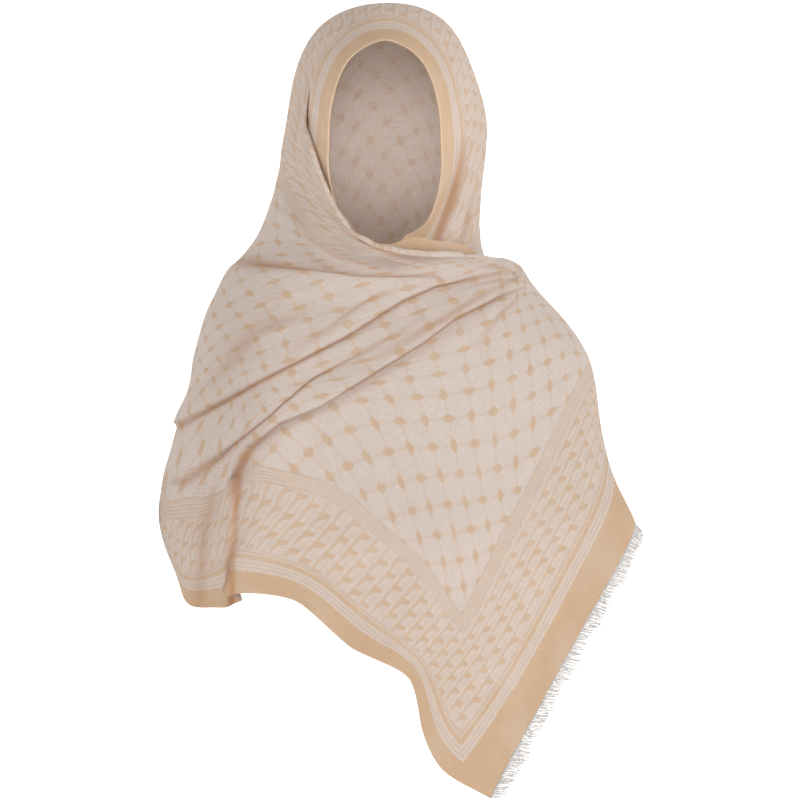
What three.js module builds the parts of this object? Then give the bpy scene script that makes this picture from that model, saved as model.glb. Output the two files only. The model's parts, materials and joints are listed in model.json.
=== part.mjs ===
// A worn shawl hijab: one woven rectangle wound round a head that is not there.
// Millimetres. +Z is up, the wearer faces -Y, and the origin is the crown of the hood.
// A place on the cloth is (s, t): s runs along the long side, t across it from the face edge to the hem.
import * as THREE from "three";

// The cloth
const CLOTH_LENGTH = 1500;
const CLOTH_WIDTH = 640;
const CLOTH_WALL = 1.6;
const FOREHEAD_S = 690;
const SEAM_HALF_GAP = 0.35;

// Where the stretches part
const HOOD_START_S = 430;
const FLAP_S = 790;
const SHOULDER_S = 1190;
const NAPE_T = 300;

// How many cells each stretch is divided into, along the cloth and across it
const HOOD_COLUMNS = 20;
const HOOD_ROWS = 14;
const BACK_ROWS = 16;
const WRAP_COLUMNS = 22;
const WRAP_ROWS = 30;
const FALL_COLUMNS = 16;
const TAIL_ROWS = 16;
const NECK_COLUMNS = 20;
const NECK_ROWS = 2;
const INNER_COLUMNS = 12;
const INNER_ROWS = 14;

// The fringe
const STRIP_GAP = 0.9;
const STRIP_WIDTH = 2.4;
const STRAND_LENGTH = 17;
const STRAND_DROOP = 3;
const STRAND_SHORTEST = 0.85;
const STRAND_SPREAD = 0.3;
const STRAND_WANDER = 1.7;
const OUTER_STRANDS = 80;
const TAIL_STRANDS = 44;
const INNER_STRANDS = 30;
const FRINGE_END_GAP = 2;
const FRINGE_PART_T = 315;
const FRINGE_PART_GAP = 3;
const INNER_FRINGE_MARGIN = 0.02;

// Where the pulled folds of the front fade out: how far the cloth faces forward, and its edges
const FOLD_FACING = { none: 0.1, full: -0.3 };
const FOLD_ALONG = { none: 860, full: 900 };
const FOLD_ACROSS = { none: 60, full: 110 };
const DRAPE_RUN_IN = 160;

// How far the tail's lower edge is tucked back at the shoulder, and where along the cloth
const TAIL_TUCK = { depth: 7, none: 1260, full: 1200 };

const CLOTH_COLOUR = "#e2cfbd";
const BAND_COLOUR = "#d9ae80";
const FRINGE_COLOUR = "#efe6da";

// Turns rows of numbers into objects with the named columns.
function table(columns, rows) {
  const names = columns.split(" ");
  return rows.map((row) => Object.fromEntries(row.map((value, i) => [names[i], value])));
}

// Arches of the hood, from the edge round the face over the head: the top of the arch on the
// middle plane, and the point on each side where it turns straight down. sideAt and farAt are how
// far that point is along the cloth on the wearer's left and right.
const HOOD_ARCHES = table("t topY topZ power sideAt farAt sideX sideY sideZ", [
  [0, -88, -39, 2.2, 128, 128, 57, -66, -141],
  [22, -69, -28, 2.2, 150, 150, 69, -49, -143],
  [44, -51, -14, 2.25, 172, 172, 80, -29, -145],
  [95, -3, 0, 2.3, 206, 200, 99, 14, -150],
  [150, 50, -10, 2.3, 206, 180, 95, 52, -165],
  [205, 92, -45, 2.2, 190, 166, 90, 78, -190],
  [260, 112, -95, 2.1, 168, 145, 87, 90, -218],
]);

// Levels down the back: the point on the middle plane, and one on each side.
const BACK_LEVELS = table("t midY midZ sideAt farAt sideX sideY sideZ", [
  [330, 114, -165, 163, 132, 98, 88, -264],
  [400, 110, -235, 160, 132, 112, 88, -317],
  [480, 116, -315, 155, 135, 124, 94, -386],
  [560, 122, -395, 152, 138, 130, 100, -456],
  [640, 124, -475, 150, 140, 133, 104, -526],
]);

// Places where the rest of the cloth lies, grouped by the line that they are on.
const PLACES = table("s t x y z", [
  // jaw on the wearer's left, and the layer that runs on under the outer end
  [485, 0, 44, -72, -218],
  [440, 0, 20, -78, -236],
  [470, 44, 51, -62, -234],
  [440, 95, 77, -40, -246],
  [430, 150, 91, -5, -252],
  [430, 240, 105, 20, -273],
  [425, 330, 140, 15, -318],
  [425, 440, 175, 5, -378],
  [425, 540, 200, 0, -453],
  [425, 640, 213, 0, -528],
  // jaw on the wearer's right
  [895, 0, -44, -72, -218],
  [905, 44, -63, -60, -226],
  // outline of the wearer's right side, down to the hem over the arm
  [908, 140, -110, 8, -178],
  [922, 172, -117, 6, -203],
  [940, 205, -130, 2, -238],
  [952, 255, -157, 0, -268],
  [952, 385, -194, 0, -358],
  [950, 490, -211, 0, -428],
  [950, 585, -225, -2, -493],
  [955, 640, -226, -4, -528],
  // edge of the flap beside the face, then the lip under the chin to the shoulder
  [829, 44, -80, -58, -129],
  [880, 38, -65, -80, -178],
  [920, 50, -48, -90, -216],
  [948, 75, -29, -99, -236],
  [965, 130, -66, -76, -238],
  [1005, 110, 0, -104, -250],
  [1065, 135, 45, -94, -255],
  [1125, 160, 95, -52, -253],
  [1165, 182, 120, -15, -256],
  // the gathers on the shoulder, and the lowest fold that is pulled from them
  [1195, 198, 133, -12, -268],
  [1213, 204, 135, -18, -281],
  [1197, 307, 70, -95, -338],
  [1178, 422, -40, -126, -396],
  [1150, 470, -95, -124, -428],
  [1115, 515, -133, -118, -470],
  [1135, 609, -150, -116, -558],
  [1144, 640, -155, -114, -591],
  // front of the wearer's right arm
  [1120, 380, -85, -120, -378],
  [1035, 330, -123, -92, -328],
  [1030, 480, -170, -72, -438],
  [1050, 509, -180, -72, -495],
  [1085, 509, -149, -92, -482],
  [990, 509, -219, -20, -498],
  [1005, 640, -213, -35, -573],
  [1060, 640, -185, -66, -605],
  [1105, 640, -142, -98, -597],
  // hem of the front
  [1211, 640, -90, -124, -596],
  [1240, 640, -67, -128, -613],
  [1285, 640, -33, -131, -643],
  [1350, 640, 24, -134, -673],
  [1397, 640, 36, -136, -720],
  [1447, 640, 57, -134, -763],
  [1500, 640, 103, -128, -791],
  // inner line of the hem's border
  [1145, 509, -95, -128, -469],
  [1195, 509, -40, -130, -488],
  [1235, 509, -5, -132, -518],
  [1284, 509, 35, -134, -553],
  [1350, 509, 75, -134, -608],
  // the outer end over the wearer's left arm
  [1350, 360, 140, -108, -483],
  [1420, 420, 160, -100, -558],
  [1500, 480, 177, -95, -658],
  [1500, 320, 252, -12, -523],
  [1465, 292, 232, -8, -480],
  [1420, 262, 217, -5, -428],
  [1350, 216, 205, -20, -358],
  [1290, 200, 175, -2, -313],
  [1240, 200, 145, -8, -290],
  // the tail thrown back over the shoulder
  [1190, 120, 126, 40, -262],
  [1215, 60, 120, 104, -280],
  [1300, 0, 80, 136, -420],
  [1350, 100, 178, 92, -400],
  [1500, 160, 185, 98, -558],
  [1500, 0, 45, 136, -598],
]);

// The cloth's upper edge as worn: above it the border is turned in.
const UPPER_EDGE = table("s t", [
  [430, 0],
  [900, 0],
  [920, 50],
  [1005, 110],
  [1065, 135],
  [1125, 160],
  [1165, 182],
  [1190, 190],
]);

// The top of the outer end's front stretch, along the outline of the shoulder and arm.
const FALL_TOP = table("s t", [
  [1190, 190],
  [1213, 200],
  [1290, 190],
  [1350, 205],
  [1420, 255],
  [1465, 288],
  [1500, 316],
]);

// The face edge of the tail: it leaves the gathers and runs down the back.
const TAIL_EDGE = table("s t", [
  [1190, 184],
  [1200, 130],
  [1230, 40],
  [1290, 0],
  [1500, 0],
]);

// Pulled folds, each a path of places in front view. The cloth above a path rises over the width
// "soft" to "rise", and drops over the width "sharp" below it.
const FOLD_PATHS = table("fold x z rise soft sharp", [
  [1, 131, -270, 3, 12, 7],
  [1, 90, -276, 8, 18, 8],
  [1, 10, -299, 10, 22, 9],
  [1, -85, -380, 9, 22, 9],
  [1, -140, -413, 8, 20, 9],
  [1, -203, -448, 2, 20, 9],
  [2, 132, -277, 2, 8, 6],
  [2, 60, -309, 8, 16, 7],
  [2, -40, -358, 9, 20, 8],
  [2, -100, -416, 9, 20, 9],
  [2, -160, -474, 5, 20, 9],
  [2, -185, -500, 1, 20, 9],
  [3, 134, -282, 3, 10, 6],
  [3, 70, -338, 12, 20, 6],
  [3, -40, -396, 13, 24, 6],
  [3, -95, -428, 13, 22, 6],
  [3, -133, -470, 12, 20, 6],
  [3, -149, -520, 11, 18, 6],
  [3, -152, -560, 7, 16, 7],
  [3, -152, -592, 3, 16, 7],
  [4, 8, -288, 1, 10, 7],
  [4, -13, -297, 5, 12, 7],
  [4, -62, -324, 5, 12, 7],
  [4, -92, -342, 1, 10, 7],
  [5, -145, -281, 1, 22, 12],
  [5, -100, -288, 6, 24, 12],
  [5, -20, -287, 6, 24, 12],
  [5, 40, -280, 1, 18, 12],
]);

// Hanging folds at the back and sides: centre along the cloth, the stretch of t, depth, half width.
const DRAPES = table("s from to depth half", [
  [520, 150, 660, 6, 26],
  [600, 190, 660, -5, 22],
  [655, 240, 660, 6, 20],
  [735, 260, 660, -5, 22],
  [790, 200, 660, 6, 24],
  [860, 170, 660, -5, 26],
  [1268, 420, 660, -6, 22],
  [1318, 470, 660, 7, 24],
]);

// The border strip that is turned in under the chin: its upper and lower edges.
const NECK_BAND_ROWS = table("x upperY upperZ lowerY lowerZ", [
  [-40, -80, -214, -79, -222],
  [-22, -89, -236, -87, -248],
  [0, -95, -243, -90, -258],
  [25, -91, -237, -86, -257],
  [45, -84, -238, -78, -259],
  [70, -65, -241, -60, -262],
  [92, -40, -250, -35, -267],
]);

// The hanging edge of the hidden inner end.
const INNER_EDGE = table("down x y z", [
  [0, -55, -88, -292],
  [0.3, -58, -98, -360],
  [0.6, -62, -106, -440],
  [1, -66, -108, -545],
]);

// The inner end joins the cloth at INNER_JOIN_S, from INNER_TOP_T down.
const INNER_JOIN_S = HOOD_START_S - 4 * SEAM_HALF_GAP;
const INNER_TOP_T = 200;

const COORDINATE_SCALE = 100;
const FOLDS = [...new Set(FOLD_PATHS.map((row) => row.fold))].map((fold) =>
  FOLD_PATHS.filter((row) => row.fold === fold),
);

// A straight line through the rows of a two-column table.
function along(rows, key, value, at) {
  const last = rows.length - 1;
  const i = Math.max(0, Math.min(last - 1, rows.findIndex((row) => row[key] > at) - 1));
  const start = at >= rows[last][key] ? rows[last - 1] : rows[i];
  const end = at >= rows[last][key] ? rows[last] : rows[i + 1];
  const part = (at - start[key]) / (end[key] - start[key]);
  return start[value] + (end[value] - start[value]) * part;
}

// Points a third, two thirds and all of the way down one side of an arch.
function archSide(arch) {
  const steps = 40;
  const points = [];
  for (let i = 0; i <= steps; i += 1) {
    const angle = (i / steps) * (Math.PI / 2);
    const up = Math.abs(Math.cos(angle)) ** (2 / arch.power);
    const out = Math.sin(angle) ** (2 / arch.power);
    points.push(
      new THREE.Vector3(
        arch.sideX * out,
        arch.sideY + (arch.topY - arch.sideY) * up,
        arch.sideZ + (arch.topZ - arch.sideZ) * up,
      ),
    );
  }
  const path = new THREE.CurvePath();
  for (let i = 0; i < steps; i += 1) {
    path.add(new THREE.LineCurve3(points[i], points[i + 1]));
  }
  return [0.33, 0.67, 1].map((part) => ({ part, point: path.getPointAt(part) }));
}

// Every place that the cloth passes through, as {s, t, x, y, z}.
function clothPlaces() {
  const places = [...PLACES];
  for (const arch of HOOD_ARCHES) {
    places.push({ s: FOREHEAD_S, t: arch.t, x: 0, y: arch.topY, z: arch.topZ });
    for (const { part, point } of archSide(arch)) {
      for (const side of [-1, 1]) {
        const reach = side < 0 ? arch.sideAt : arch.farAt;
        places.push({
          s: FOREHEAD_S + side * reach * part,
          t: arch.t,
          x: -side * point.x,
          y: point.y,
          z: point.z,
        });
      }
    }
  }
  for (const level of BACK_LEVELS) {
    places.push({ s: FOREHEAD_S, t: level.t, x: 0, y: level.midY, z: level.midZ });
    for (const side of [-1, 1]) {
      places.push({
        s: FOREHEAD_S + side * (side < 0 ? level.sideAt : level.farAt),
        t: level.t,
        x: -side * level.sideX,
        y: level.sideY,
        z: level.sideZ,
      });
    }
  }
  return places;
}

// Solves a square set of equations with several right-hand sides.
function solve(matrix, right) {
  const size = matrix.length;
  const rows = matrix.map((row, i) => [...row, ...right[i]]);
  for (let column = 0; column < size; column += 1) {
    let best = column;
    for (let i = column + 1; i < size; i += 1) {
      if (Math.abs(rows[i][column]) > Math.abs(rows[best][column])) best = i;
    }
    [rows[column], rows[best]] = [rows[best], rows[column]];
    for (let i = 0; i < size; i += 1) {
      if (i === column) continue;
      const factor = rows[i][column] / rows[column][column];
      if (factor === 0) continue;
      for (let k = column; k < rows[i].length; k += 1) rows[i][k] -= factor * rows[column][k];
    }
  }
  return rows.map((row, i) => row.slice(size).map((value) => value / row[i]));
}

function thinPlateKernel(distanceSquared) {
  return 0.5 * distanceSquared * Math.log(distanceSquared + 1e-9);
}

// A smooth sheet through the places: a thin-plate spline from (s, t) to (x, y, z).
function thinPlate(places) {
  const centres = places.map((p) => [p.s / COORDINATE_SCALE, p.t / COORDINATE_SCALE]);
  const kernelRow = (u, v) => centres.map(([a, b]) => thinPlateKernel((u - a) ** 2 + (v - b) ** 2));
  const matrix = centres.map(([u, v]) => [...kernelRow(u, v), 1, u, v]);
  matrix.push([...centres.map(() => 1), 0, 0, 0]);
  matrix.push([...centres.map(([u]) => u), 0, 0, 0]);
  matrix.push([...centres.map(([, v]) => v), 0, 0, 0]);
  const right = [...places.map((p) => [p.x, p.y, p.z]), [0, 0, 0], [0, 0, 0], [0, 0, 0]];
  const weights = solve(matrix, right);
  return (s, t) => {
    const u = s / COORDINATE_SCALE;
    const v = t / COORDINATE_SCALE;
    const terms = [...kernelRow(u, v), 1, u, v];
    const sum = [0, 0, 0];
    terms.forEach((term, i) => {
      for (let k = 0; k < 3; k += 1) sum[k] += term * weights[i][k];
    });
    return new THREE.Vector3(...sum);
  };
}

const smoothCloth = thinPlate(clothPlaces());

// The outward normal of a sheet given as a function of (s, t).
function sheetNormal(sheet, s, t) {
  const step = 2;
  const alongS = sheet(s + step, t).sub(sheet(s - step, t));
  const alongT = sheet(s, t + step).sub(sheet(s, t - step));
  return alongT.cross(alongS).normalize();
}

function smoothStep(from, to, value) {
  const part = Math.max(0, Math.min(1, (value - from) / (to - from)));
  return part * part * (3 - 2 * part);
}

function fade(limits, value) {
  return smoothStep(limits.none, limits.full, value);
}

// The nearest place of a path of folds to (x, z) in front view, with its sizes.
function nearestOnPath(rows, x, z) {
  let best = { off: Infinity };
  for (let i = 0; i < rows.length - 1; i += 1) {
    const start = rows[i];
    const end = rows[i + 1];
    const stepX = end.x - start.x;
    const stepZ = end.z - start.z;
    const reach = (x - start.x) * stepX + (z - start.z) * stepZ;
    const part = Math.max(0, Math.min(1, reach / (stepX ** 2 + stepZ ** 2)));
    const offX = x - start.x - part * stepX;
    const offZ = z - start.z - part * stepZ;
    const off = Math.hypot(offX, offZ);
    if (off >= best.off) continue;
    const mix = (key) => start[key] + (end[key] - start[key]) * part;
    best = {
      off,
      above: stepX * offZ - stepZ * offX < 0,
      rise: mix("rise"),
      soft: mix("soft"),
      sharp: mix("sharp"),
    };
  }
  return best;
}

// How far the pulled folds lift the cloth at (x, z) in front view.
function foldRise(x, z) {
  let most = 0;
  for (const rows of FOLDS) {
    const { off, above, rise, soft, sharp } = nearestOnPath(rows, x, z);
    const height = rise * Math.exp(-((off / (above ? soft : sharp)) ** 2));
    most = Math.hypot(most, height);
  }
  return most;
}

// How far the folds that hang from the head and shoulder move the cloth.
function drapeDepth(s, t) {
  let depth = 0;
  for (const drape of DRAPES) {
    const across = Math.exp(-(((s - drape.s) / drape.half) ** 2));
    depth += drape.depth * across * smoothStep(drape.from, drape.from + DRAPE_RUN_IN, t);
  }
  return depth;
}

// The worn cloth at (s, t) with its folds.
function cloth(s, t) {
  const point = smoothCloth(s, t);
  const normal = sheetNormal(smoothCloth, s, t);
  let lift = drapeDepth(s, t);
  const front = fade(FOLD_FACING, normal.y) * fade(FOLD_ALONG, s) * fade(FOLD_ACROSS, t);
  if (front > 0) lift += front * foldRise(point.x, point.z);
  return point.addScaledVector(normal, lift);
}

// A closed wall between two grids of points that lie side by side.
function wallGeometry(outer, inner) {
  const rows = outer.length;
  const columns = outer[0].length;
  const positions = [...outer.flat(), ...inner.flat()].flatMap((p) => p.toArray());
  const front = (i, k) => i * columns + k;
  const back = (i, k) => rows * columns + i * columns + k;
  const indices = [];
  const quad = (a, b, c, d) => indices.push(a, b, c, a, c, d);
  for (let i = 0; i < rows - 1; i += 1) {
    for (let k = 0; k < columns - 1; k += 1) {
      quad(front(i, k), front(i, k + 1), front(i + 1, k + 1), front(i + 1, k));
      quad(back(i, k), back(i + 1, k), back(i + 1, k + 1), back(i, k + 1));
    }
  }
  for (let k = 0; k < columns - 1; k += 1) {
    quad(front(0, k), back(0, k), back(0, k + 1), front(0, k + 1));
    quad(front(rows - 1, k), front(rows - 1, k + 1), back(rows - 1, k + 1), back(rows - 1, k));
  }
  for (let i = 0; i < rows - 1; i += 1) {
    quad(front(i, 0), front(i + 1, 0), back(i + 1, 0), back(i, 0));
    quad(
      front(i, columns - 1),
      back(i, columns - 1),
      back(i + 1, columns - 1),
      front(i + 1, columns - 1),
    );
  }
  return closedGeometry(positions, indices);
}

function signedVolume(positions, indices) {
  const corner = (i) => new THREE.Vector3().fromArray(positions, 3 * indices[i]);
  let volume = 0;
  for (let i = 0; i < indices.length; i += 3) {
    volume += corner(i).dot(corner(i + 1).cross(corner(i + 2))) / 6;
  }
  return volume;
}

// An indexed geometry whose faces point out.
function closedGeometry(positions, indices) {
  if (signedVolume(positions, indices) < 0) indices.reverse();
  const geometry = new THREE.BufferGeometry();
  geometry.setAttribute("position", new THREE.Float32BufferAttribute(positions, 3));
  geometry.setIndex(indices);
  geometry.computeVertexNormals();
  return geometry;
}

// The wall over a sheet divided into columns and rows of cells.
function sheetWall(sheet, columns, rows, placeOf, normalOf) {
  const outer = [];
  const inner = [];
  for (let i = 0; i <= rows; i += 1) {
    const outerRow = [];
    const innerRow = [];
    for (let k = 0; k <= columns; k += 1) {
      const place = placeOf(k / columns, i / rows);
      const half = normalOf(sheet, ...place).multiplyScalar(CLOTH_WALL / 2);
      const middle = sheet(...place);
      outerRow.push(middle.clone().add(half));
      innerRow.push(middle.clone().sub(half));
    }
    outer.push(outerRow);
    inner.push(innerRow);
  }
  return wallGeometry(outer, inner);
}

// A stretch of the cloth: from s0 to s1 along it, between two edges across it.
function stretchGeometry(s0, s1, upper, lower, columns, rows) {
  const placeOf = (across, down) => {
    const s = s0 + (s1 - s0) * across;
    return [s, upper(s) + (lower(s) - upper(s)) * down];
  };
  return sheetWall(cloth, columns, rows, placeOf, sheetNormal);
}

// The turned-in border under the chin: across runs over its length, down from its upper edge.
function neckBandSheet(across, down) {
  const curve = (key) => {
    const knots = NECK_BAND_ROWS.map((row, k) => new THREE.Vector2(k, row[key]));
    return new THREE.SplineCurve(knots).getPoint(Math.max(0, Math.min(1, across))).y;
  };
  const upper = new THREE.Vector3(curve("x"), curve("upperY"), curve("upperZ"));
  const lower = new THREE.Vector3(curve("x"), curve("lowerY"), curve("lowerZ"));
  return upper.lerp(lower, down);
}

// The outward normal of a sheet given over (across, down) from 0 to 1.
function unitSheetNormal(sheet, across, down) {
  const step = 0.01;
  const acrossWay = sheet(across + step, down).sub(sheet(across - step, down));
  const downWay = sheet(across, down + step).sub(sheet(across, down - step));
  return downWay.cross(acrossWay).normalize();
}

const unitPlace = (across, down) => [across, down];

function neckBandGeometry() {
  return sheetWall(neckBandSheet, NECK_COLUMNS, NECK_ROWS, unitPlace, unitSheetNormal);
}

// The hidden inner end: from the cloth on the wearer's left arm round to its hanging edge.
function innerEndSheet(round, down) {
  const t = INNER_TOP_T + (CLOTH_WIDTH - INNER_TOP_T) * down;
  const joined = cloth(INNER_JOIN_S, t);
  const edge = (key) => along(INNER_EDGE, "down", key, down);
  const angle = (Math.max(0, Math.min(1, round)) * Math.PI) / 2;
  return new THREE.Vector3(
    edge("x") + (joined.x - edge("x")) * Math.cos(angle),
    joined.y + (edge("y") - joined.y) * Math.sin(angle),
    edge("z") + (joined.z - edge("z")) * (1 - round),
  );
}

function innerEndGeometry() {
  return sheetWall(innerEndSheet, INNER_COLUMNS, INNER_ROWS, unitPlace, unitSheetNormal);
}

// A fringe: strands that stand out of a narrow strip along an edge. edge(u) gives the point on the
// edge, the way out of the cloth and the cloth's normal for u from 0 to 1.
function fringeGeometry(edge, strands) {
  const stations = 2 * strands;
  const positions = [];
  const indices = [];
  const quad = (a, b, c, d) => indices.push(a, b, c, a, c, d);
  for (let i = 0; i <= stations; i += 1) {
    const { point, out, normal } = edge(i / stations);
    for (const [reach, side] of [[0, 1], [0, -1], [1, -1], [1, 1]]) {
      const corner = point
        .clone()
        .addScaledVector(out, STRIP_GAP + reach * STRIP_WIDTH)
        .addScaledVector(normal, (side * CLOTH_WALL) / 2);
      positions.push(...corner.toArray());
    }
  }
  for (let i = 0; i < stations; i += 1) {
    const a = 4 * i;
    const b = a + 4;
    quad(a, b, b + 1, a + 1);
    quad(a + 1, b + 1, b + 2, a + 2);
    quad(a + 3, b + 3, b, a);
    if (i % 2 === 0) {
      quad(a + 2, b + 2, b + 3, a + 3);
      continue;
    }
    const { point, out } = edge((i + 0.5) / stations);
    const wander = Math.abs(Math.sin(i * STRAND_WANDER));
    const length = STRAND_LENGTH * (STRAND_SHORTEST + STRAND_SPREAD * wander);
    const tip = point.clone().addScaledVector(out, STRIP_WIDTH + length);
    tip.z -= STRAND_DROOP;
    const tipIndex = positions.length / 3;
    positions.push(...tip.toArray());
    indices.push(a + 2, b + 2, tipIndex, b + 2, b + 3, tipIndex);
    indices.push(b + 3, a + 3, tipIndex, a + 3, a + 2, tipIndex);
  }
  const end = 4 * stations;
  quad(0, 1, 2, 3);
  quad(end, end + 3, end + 2, end + 1);
  return closedGeometry(positions, indices);
}

// The frayed outer end between two places across the cloth.
function outerFringeEdge(t0, t1) {
  return (u) => {
    const t = t0 + (t1 - t0) * u;
    const point = cloth(CLOTH_LENGTH, t);
    const out = point.clone().sub(cloth(CLOTH_LENGTH - 6, t)).normalize();
    return { point, out, normal: sheetNormal(cloth, CLOTH_LENGTH, t) };
  };
}

// The frayed inner end, down its hanging edge.
function innerFringeEdge(u) {
  const down = INNER_FRINGE_MARGIN + (1 - 2 * INNER_FRINGE_MARGIN) * u;
  const point = innerEndSheet(1, down);
  const out = point.clone().sub(innerEndSheet(0.97, down)).normalize();
  const downWay = innerEndSheet(1, down + 0.01).sub(innerEndSheet(1, down - 0.01)).normalize();
  return { point, out, normal: downWay.cross(out).normalize() };
}

function piece(name, geometry, colour) {
  const material = new THREE.MeshStandardMaterial({ color: colour, roughness: 0.85, metalness: 0 });
  material.side = THREE.DoubleSide;
  const mesh = new THREE.Mesh(geometry, material);
  mesh.name = name;
  return mesh;
}

const upperEdge = (s) => along(UPPER_EDGE, "s", "t", s);
const fallTop = (s) => along(FALL_TOP, "s", "t", s);
const tailEdge = (s) => along(TAIL_EDGE, "s", "t", s);
const tailFoot = (s) => fallTop(s) - 2 * SEAM_HALF_GAP - TAIL_TUCK.depth * fade(TAIL_TUCK, s);
const hem = () => CLOTH_WIDTH;

const nape = NAPE_T - SEAM_HALF_GAP;
const belowNape = NAPE_T + SEAM_HALF_GAP;
const flapStart = FLAP_S - SEAM_HALF_GAP;
const afterFlap = FLAP_S + SEAM_HALF_GAP;
const beforeShoulder = SHOULDER_S - SEAM_HALF_GAP;
const afterShoulder = SHOULDER_S + SEAM_HALF_GAP;
const tailStart = afterShoulder + (CLOTH_LENGTH - afterShoulder) / FALL_COLUMNS;

const HOOD = stretchGeometry(HOOD_START_S, flapStart, upperEdge, () => nape, HOOD_COLUMNS, HOOD_ROWS);
const BACK = stretchGeometry(HOOD_START_S, flapStart, () => belowNape, hem, HOOD_COLUMNS, BACK_ROWS);
const WRAP = stretchGeometry(afterFlap, beforeShoulder, upperEdge, hem, WRAP_COLUMNS, WRAP_ROWS);
const FALL = stretchGeometry(afterShoulder, CLOTH_LENGTH, fallTop, hem, FALL_COLUMNS, WRAP_ROWS);
const TAIL = stretchGeometry(tailStart, CLOTH_LENGTH, tailEdge, tailFoot, FALL_COLUMNS - 1, TAIL_ROWS);
const OUTER_FRINGE = outerFringeEdge(CLOTH_WIDTH - FRINGE_END_GAP, FRINGE_PART_T + FRINGE_PART_GAP);
const TAIL_FRINGE = outerFringeEdge(FRINGE_PART_T - FRINGE_PART_GAP, 2 * FRINGE_END_GAP);

const hijab = new THREE.Group();
hijab.name = "hijab";
hijab.add(
  piece("hood", HOOD, BAND_COLOUR),
  piece("back_drape", BACK, CLOTH_COLOUR),
  piece("front_wrap", WRAP, CLOTH_COLOUR),
  piece("end_fall", FALL, CLOTH_COLOUR),
  piece("shoulder_tail", TAIL, CLOTH_COLOUR),
  piece("neck_band", neckBandGeometry(), BAND_COLOUR),
  piece("inner_end", innerEndGeometry(), CLOTH_COLOUR),
  piece("fringe_outer", fringeGeometry(OUTER_FRINGE, OUTER_STRANDS), FRINGE_COLOUR),
  piece("fringe_tail", fringeGeometry(TAIL_FRINGE, TAIL_STRANDS), FRINGE_COLOUR),
  piece("fringe_inner", fringeGeometry(innerFringeEdge, INNER_STRANDS), FRINGE_COLOUR),
);

export default hijab;
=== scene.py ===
import json
import logging
import math
from dataclasses import dataclass
from enum import Enum

import bpy
import numpy as np
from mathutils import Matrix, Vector

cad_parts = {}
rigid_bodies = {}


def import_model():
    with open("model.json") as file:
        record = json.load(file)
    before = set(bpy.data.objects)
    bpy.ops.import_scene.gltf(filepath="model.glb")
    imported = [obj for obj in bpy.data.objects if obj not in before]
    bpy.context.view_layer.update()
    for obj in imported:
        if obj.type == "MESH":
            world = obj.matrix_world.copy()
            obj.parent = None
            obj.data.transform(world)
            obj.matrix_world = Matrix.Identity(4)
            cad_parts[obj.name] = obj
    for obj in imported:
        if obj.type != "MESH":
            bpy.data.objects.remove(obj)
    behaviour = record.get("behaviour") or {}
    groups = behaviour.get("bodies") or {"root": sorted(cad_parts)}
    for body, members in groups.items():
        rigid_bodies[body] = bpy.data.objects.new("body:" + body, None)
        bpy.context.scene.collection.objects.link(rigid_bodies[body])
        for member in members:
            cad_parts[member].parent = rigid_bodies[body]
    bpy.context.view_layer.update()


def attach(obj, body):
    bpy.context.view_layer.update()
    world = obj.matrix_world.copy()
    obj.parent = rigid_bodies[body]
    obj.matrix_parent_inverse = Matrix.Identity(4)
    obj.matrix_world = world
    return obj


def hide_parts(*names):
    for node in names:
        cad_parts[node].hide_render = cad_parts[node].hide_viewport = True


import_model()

LOG = logging.getLogger("hijab")

MM = 0.001
CLOTH_LENGTH = 1500.0
CLOTH_WIDTH = 640.0
CLOTH_WALL = 0.9
FOREHEAD_S = 690.0
HOOD_START_S = 430.0
FLAP_S = 800.0
SHOULDER_S = 1190.0
COORDINATE_SCALE = 100.0

# The pattern, from an edge inward
PLAIN_BAND = 22.0
PLAIN_END = 40.0
WHITE_LINES_END = 34.0
STRIPE_END = 39.0
LEAF_START = 44.0
LEAF_END = 116.0
BORDER_END = 131.0
LEAF_PITCH = 13.3
LEAF_REPEAT = 22.8
LEAF_STAGGER = 5.0
NET_CELL = 23.0

ROLL_RADIUS = 0.7
LIP_ROLL = 2.0
OUTER_FRINGE_T = 316.0


class Colour(Enum):
    """Yarn and studio colours as sRGB hex; some carry painted light and shade: the fold-valley shade, the
    paler reverse and the darker fringe.
    """

    WHITE_YARN = "#eaddd4"
    PEACH_YARN = "#dfbf9d"
    LINE_YARN = "#bfa794"
    # the reverse yarns, paler than the face yarns so that the inside of the hood reads brighter: painted
    # light on top of the reverse's own colour
    REVERSE_WHITE_LIT = "#efe8e2"
    REVERSE_PEACH_LIT = "#e6d2c0"
    # painted shade: a warm dark colour laid into the valleys below the pulled folds
    PAINTED_CREASE_SHADE = "#bd8558"
    # the fringe yarn, darker than the white yarn: painted shade among the loose threads
    FRINGE_SHADED = "#dad5d1"
    STITCH = "#e8d3bd"
    BACKDROP = "#ffffff"


def linear(colour: Colour) -> tuple[float, float, float, float]:
    """Turn an sRGB hex colour into linear values.

    Args:
        colour: The colour to convert.

    Returns:
        Red, green, blue and alpha, each 0 to 1.
    """
    code = colour.value.lstrip("#")
    parts = [int(code[i : i + 2], 16) / 255 for i in (0, 2, 4)]
    red, green, blue = (c / 12.92 if c <= 0.04045 else ((c + 0.055) / 1.055) ** 2.4 for c in parts)
    return red, green, blue, 1.0


@dataclass(frozen=True)
class Arch:
    """An arch of the hood over the head.

    Attributes:
        t: Distance across the cloth from the face edge.
        top_y, top_z: Top of the arch on the middle plane.
        power: How square the arch is.
        side_at, far_at: How far along the cloth its foot is, on the wearer's left and right.
        side_x, side_y, side_z: Foot of the arch.
    """

    t: float
    top_y: float
    top_z: float
    power: float
    side_at: float
    far_at: float
    side_x: float
    side_y: float
    side_z: float


@dataclass(frozen=True)
class Place:
    """A place (s, t) on the cloth and where it lies."""

    s: float
    t: float
    x: float
    y: float
    z: float


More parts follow.
